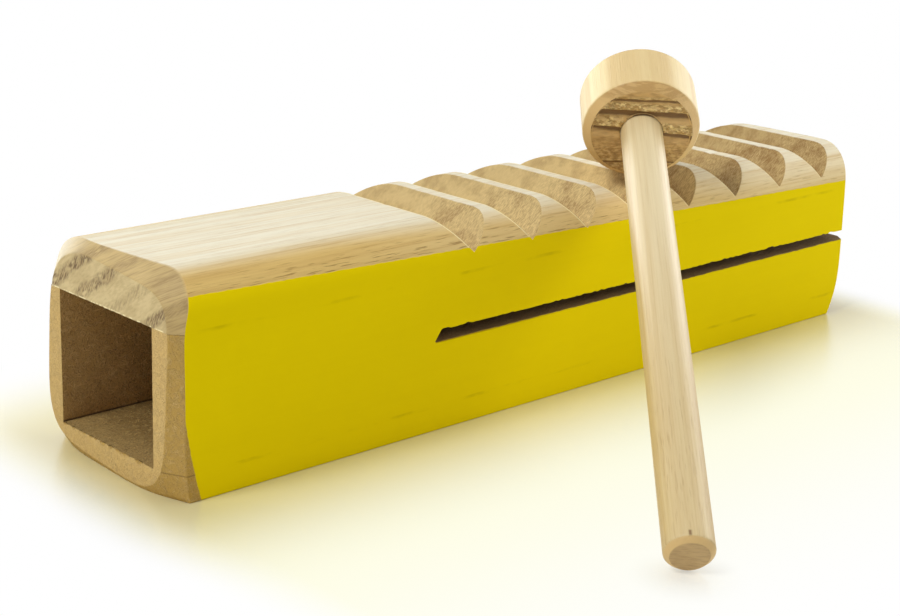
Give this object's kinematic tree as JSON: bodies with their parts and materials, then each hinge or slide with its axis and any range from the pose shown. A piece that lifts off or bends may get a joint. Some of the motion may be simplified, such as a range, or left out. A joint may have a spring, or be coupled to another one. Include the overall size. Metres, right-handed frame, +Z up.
{
  "type": "reco-reco scraper with beater",
  "caption": "Hollow wooden box scraper, open at both ends, with V grooves across the top, a saw slit along its painted sides and a turned mallet-shaped beater leaning on the ridges.",
  "frame": {"origin": "middle of the box's underside, on the surface that the box stands on", "axes": "+X along the box from the plain front end to the slit end, +Y across the box away from the side that the beater leans over, +Z up"},
  "size_m": [0.2664, 0.1634, 0.0937],
  "materials": {
    "bare_wood": "bare sanded hardwood, rougher in the grooves and on the end grain",
    "painted_board": "satin yellow paint on the outside of fibreboard, bare brown fibreboard inside, in the slit and on the sanded ends",
    "beater_wood": "bare pale turned wood"
  },
  "bodies": {
    "box": {"top_board": "bare_wood", "near_side_board": "painted_board", "far_side_board": "painted_board", "bottom_board": "painted_board"},
    "beater": {"beater_shaft": "beater_wood", "beater_head": "beater_wood"}
  },
  "joints": [
    {"name": "scrape_stroke", "type": "slide", "parent": "box", "child": "beater", "axis": [1, 0, 0], "range_m": [-0.077, 0.083]}
  ]
}
